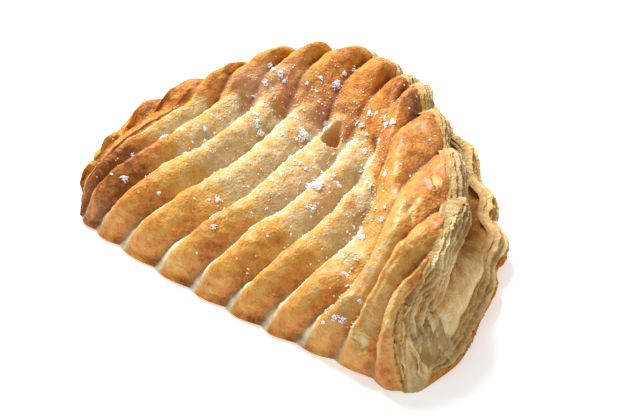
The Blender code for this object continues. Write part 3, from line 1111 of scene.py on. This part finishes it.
# %% one strip
LEAF_STEP, LEAF_STEPS = 0.45, 12
BACK_FROM, BACK_DARKER, BACK_SHADE = (-18.0, -6.0), 0.15, 0.75  # leaves behind are browner, and darker with painted shade under the upper sheet
END_OUTWARD = (1.0, -0.12, 0.0)  # where a strip runs down the end, it stands out this way
# how far each wave moves a strip, how long it is, and where in the noise it lies
STAND_WAVES = ((0.9, 8.0, 0.0), (0.5, 2.8, 5.0))
SWAY_WAVES = ((0.8, 7.0, 13.0), (0.5, 2.4, 17.0), (0.3, 1.1, 23.0))
FRAY, FRAY_SIZE = 0.5, 1.0


def directions(centre):
    """The ways out and up of a strip along its course."""
    forward = np.gradient(centre, axis=0)
    forward /= np.linalg.norm(forward, axis=1, keepdims=True)
    plan = np.cross(forward, (0.0, 0.0, 1.0))
    turned = plan * np.sign((plan[:, :2] * centre[:, :2]).sum(axis=1) + 1e-9)[:, None]
    level = np.linalg.norm(turned, axis=1)[:, None] > 0.3
    outward = smoothed(np.where(level, turned, END_OUTWARD), 30)
    outward /= np.linalg.norm(outward, axis=1, keepdims=True)
    upward = np.cross(forward, outward)
    return outward, upward * np.sign(upward[:, 2:3] + 1e-9)


def waved(walk, waves):
    """The sum of several waves of noise along a strip."""
    return sum(height * noise_at(walk, size, away) for height, size, away in waves)


def strip(course, reach, thickness, brown, leafy, root, upper, seed):
    """The rings of one leaf that stands out of the course by about reach, and its numbers."""
    centre = smoothed(evened(course, LEAF_STEP), 6)
    outward, upward = directions(centre)
    count = len(centre)
    walk = np.stack([np.arange(count) * LEAF_STEP, np.full(count, seed), np.zeros(count)], axis=1)
    ends = hills(np.arange(count), 0, 16, count - 8, count - 1)
    fray = FRAY * np.maximum(noise_at(walk, FRAY_SIZE, 9.0), -0.2)
    stand = reach * (0.15 + 0.85 * ends) + ends * (waved(walk, STAND_WAVES) + fray)
    turn = np.arange(LEAF_STEPS) * 2.0 * math.pi / LEAF_STEPS
    half = (stand + root) / 2.0
    out = (half - root)[:, None] + half[:, None] * np.cos(turn)
    sway = waved(walk, SWAY_WAVES)[:, None] * ((out + root) / (root + 2.0))
    up = sway + thickness * 0.5 * np.sin(turn)
    rings = centre[:, None] + outward[:, None] * out[:, :, None] + upward[:, None] * up[:, :, None]
    rings[:, :, 2] = np.maximum(rings[:, :, 2], 0.05)

    tip = ramps(out, 0.2 * stand[:, None], stand[:, None] + 0.01)
    back = ramps(centre[:, 1:2], *BACK_FROM) * (leafy > 0.9) * upper
    leaf_tone = brown + 0.25 * noise_at(walk, 2.5, 3.0)[:, None] + 0.15 * tip * noise_at(walk, 1.0, 4.0)[:, None]
    leaf_tone = leaf_tone + BACK_DARKER * back
    # painted shade where a leaf goes into the crust, and on the leaves behind
    leaf_shade = np.maximum(0.9 * (1.0 - ramps(out, -1.0, 0.8 * stand[:, None])), BACK_SHADE * back)
    nothing = np.zeros_like(leaf_tone)
    numbers = {"browning_and_shade": leaf_tone, "gloss": nothing, "painted_shade": leaf_shade, "leafy": nothing + leafy}
    return rings, {**numbers, "sugar_and_highlight": nothing}


print("a strip's rings have", LEAF_STEPS, "points and stand", LEAF_STEP, "mm apart")

# %% [markdown]
# The leaves spread unevenly: wide pale ones stand out between short brown ones, as they do
# where butter kept some of them apart. So each leaf is one line of a list, and can be changed
# alone.

# %% all the leaves
LEAF_ROOT, SHORT_ROOT = 3.0, 1.3  # how far a strip's hidden side reaches into the crust
# each leaf: its w, how far it stands out, its thickness, how brown it is, leaf (1) or skin (0)
UPPER_LEAVES = (
    (0.05, 0.8, 0.45, 0.45, 0.5),
    (0.15, 1.3, 0.30, 0.10, 1.0),
    (0.26, 0.6, 0.30, 0.40, 1.0),
    (0.37, 1.5, 0.30, 0.05, 1.0),
    (0.48, 0.7, 0.25, 0.45, 1.0),
    (0.59, 1.5, 0.30, 0.15, 1.0),
    (0.70, 0.8, 0.25, 0.40, 1.0),
    (0.80, 1.6, 0.30, 0.05, 1.0),
    (0.91, 1.0, 0.25, 0.40, 1.0),
    (1.00, 2.2, 0.35, 0.08, 1.0),
)
LOWER_LEAVES = (
    (-0.10, 1.0, 0.90, 0.62, 0.0),
    (0.14, 1.5, 0.60, 0.52, 0.0),
    (0.36, 1.9, 0.35, 0.25, 1.0),
    (0.56, 1.1, 0.30, 0.55, 1.0),
    (0.78, 1.7, 0.30, 0.28, 1.0),
    (1.00, 0.9, 0.35, 0.45, 1.0),
)

strips = []
for w, *leaf in UPPER_LEAVES:
    root = LEAF_ROOT if strips else SHORT_ROOT
    strips.append(strip(upper_course(w), *leaf, root, True, 7.0 * len(strips)))
for w, *leaf in LOWER_LEAVES:
    strips.append(strip(lower_course(w), *leaf, SHORT_ROOT, False, 7.0 * len(strips)))
leaves = baked_piece("leaves", strips)
print("leaves:", len(strips), "strips,", len(leaves.data.polygons), "faces")

# %% [markdown]
# ## Sugar
# The baked turnover is sprinkled with sugar. Most of it lies as single grains, some of it
# clumped where the crust was damp: at the crease between the middle and the rim. White dots
# in the crust's material would cast no shadows and give no sparkle, so the grains are little
# lumps at their true size, thrown by a seeded random draw onto the crust's points.

# %% the sugar's material and one grain
SUGAR_SEED = 41
BATCH = 40
WHITE_SUGAR, GREY_SUGAR, SPARKLE_SCALE = (0.97, 0.95, 0.96), (0.84, 0.82, 0.88), 3000.0

draw = random.Random(SUGAR_SEED)
sugar_look, sugar_tree, sugar_shader = new_look("sugar")
sugar_place = sugar_tree.nodes.new("ShaderNodeTexCoord").outputs["Object"]
sparkle = texture(sugar_tree, "ShaderNodeTexNoise", sugar_place, SPARKLE_SCALE)
sugar_colour = tinted(sugar_tree, sparkle, WHITE_SUGAR, GREY_SUGAR)
sugar_tree.links.new(sugar_colour, sugar_shader.inputs["Base Color"])
dial(sugar_shader, {"Roughness": 0.35, "Subsurface Weight": 0.2, "Subsurface Scale": 0.0004})


def add_grain(bm, place, radius):
    """One angular grain of sugar, squashed and turned by chance."""
    turn = Matrix.Rotation(draw.uniform(0.0, 2.0 * math.pi), 4, Vector((draw.random(), draw.random(), 1.0)))
    sizes = draw.uniform(0.7, 1.3), draw.uniform(0.7, 1.2), draw.uniform(0.6, 1.0)
    matrix = Matrix.Translation(Vector(place) * MM) @ turn @ Matrix.Diagonal((*sizes, 1.0))
    bmesh.ops.create_icosphere(bm, subdivisions=1, radius=radius * MM, matrix=matrix)


def heaped(name, grains):
    """One piece of sugar from the grains' places and radii, made a few at a time."""
    whole = bmesh.new()
    for first in range(0, len(grains), BATCH):
        bm = bmesh.new()
        for place, radius in grains[first : first + BATCH]:
            add_grain(bm, place, radius)
        pour(bm, whole)
    return finished(name, whole, sugar_look, smooth=False)


print("sugar material:", sugar_look.name)

# %% [markdown]
# Where sugar lands is a matter of chance, but not of even chance. Every point of the crust
# gets odds: high near the crease and in the middle, none on steep walls and bare leaves.

# %% single grains
GRAINS, GRAIN_RADII = 1300, (0.10, 0.34)
DUST, CREASE_DUST, MIDDLE_DUST = 0.05, 1.0, 0.6
STEEPEST = 0.3  # no sugar stays where the surface is steeper than this

spans = np.linalg.norm(np.cross(np.gradient(grid, axis=0), np.gradient(grid, axis=1)), axis=2)
near_crease = bell(share_grid, brown_start(p_grid, ramps), 0.10) * ramps(phase, 3.5, 5.5)
middle_dust = bell(phase, 8.0, 2.6) * bell(share_grid, 0.5, 0.22)
density = spans * on_upper * (1.0 - bare) * (DUST + CREASE_DUST * near_crease + MIDDLE_DUST * middle_dust)
density *= (normals[:, :, 2] > STEEPEST) * (place_grid < TOP_END + 0.5) * (1.0 - ramps(p_grid, 0.82, 0.9))
density[:, PLACES < TOP_START + 0.2] = 0.0
odds = np.cumsum(density.ravel())


def thrown():
    """A chance point of the crust where sugar fell: its row and column."""
    found = int(np.searchsorted(odds, draw.random() * odds[-1]))
    return np.unravel_index(min(found, odds.size - 1), density.shape)


loose = []
for _ in range(GRAINS):
    row, column = thrown()
    radius = draw.uniform(*GRAIN_RADII) * draw.uniform(0.7, 1.0)
    loose.append((crust_points[row, column] + normals[row, column] * radius * 0.4, radius))
grains = heaped("sugar_grains", loose)
print("single grains:", len(loose), "with", len(grains.data.polygons), "faces")

# %% [markdown]
# A clump is a low heap of finer grains with an uneven outline. The few big ones are listed one
# by one, the many small ones fall by the same odds as the grains.

# %% clumps
CLUMPS = 260
CLUMP_SIZE, CLUMP_SPREAD, CLUMP_GRAINS = 0.30, 1.2, 24.0
CLUMP_RADII, CLUMP_LIFT = (0.12, 0.30), 0.30
# each big clump: its place as ridges and share, its size in mm and its number of grains
BIG_CLUMPS = (
    (6.80, 0.66, 2.6, 240),
    (8.40, 0.45, 2.9, 300),
    (6.90, 0.83, 1.8, 110),
    (7.00, 0.745, 1.9, 120),
    (9.62, 0.77, 1.5, 80),
    (8.35, 0.80, 1.2, 50),
    (8.30, 0.71, 1.6, 90),
    (5.64, 0.63, 1.5, 70),
    (4.75, 0.10, 1.5, 60),
    (10.8, 0.49, 1.0, 30),
    (4.30, 0.35, 2.4, 90),
    (3.90, 0.22, 1.6, 50),
)


def heap(row, column, size, count):
    """The places and radii of one clump's grains on the crust's point at row and column."""
    middle, up = crust_points[row, column], normals[row, column]
    side = np.cross(up, (0.3, 0.9, 0.1))
    side /= np.linalg.norm(side)
    long_way, arms, arm_turn = draw.uniform(0.0, math.pi), draw.uniform(0.3, 0.6), draw.uniform(0.0, 6.0)
    for _ in range(count):
        turn = draw.uniform(0.0, 2.0 * math.pi)
        uneven = (1.0 - arms) + arms * math.sin(1.5 * turn + arm_turn) ** 2
        reach = size * draw.random() ** 0.7 * uneven * (0.75 + 0.45 * abs(math.cos(turn - long_way)))
        lift = draw.random() * CLUMP_LIFT * size * max(0.0, 1.0 - (reach / size) ** 2)
        offset = side * (reach * math.cos(turn)) + np.cross(up, side) * (reach * math.sin(turn))
        yield middle + offset + up * lift, draw.uniform(*CLUMP_RADII)


heaps = []
for middle_phase, middle_share, size, count in BIG_CLUMPS:
    gap = ((phase - middle_phase) / 10.0) ** 2 + (share_grid - middle_share) ** 2 + 9.0 * (1.0 - on_upper)
    heaps.append((*np.unravel_index(np.argmin(gap), gap.shape), size, count))
for _ in range(CLUMPS):
    size = CLUMP_SIZE + CLUMP_SPREAD * draw.random() ** 3
    heaps.append((*thrown(), size, round(CLUMP_GRAINS * size * size) + 4))
clumped = [grain for place in heaps for grain in heap(*place)]
clumps = heaped("sugar_clumps", clumped)
print("clumps:", len(heaps), "with", len(clumps.data.polygons), "faces")
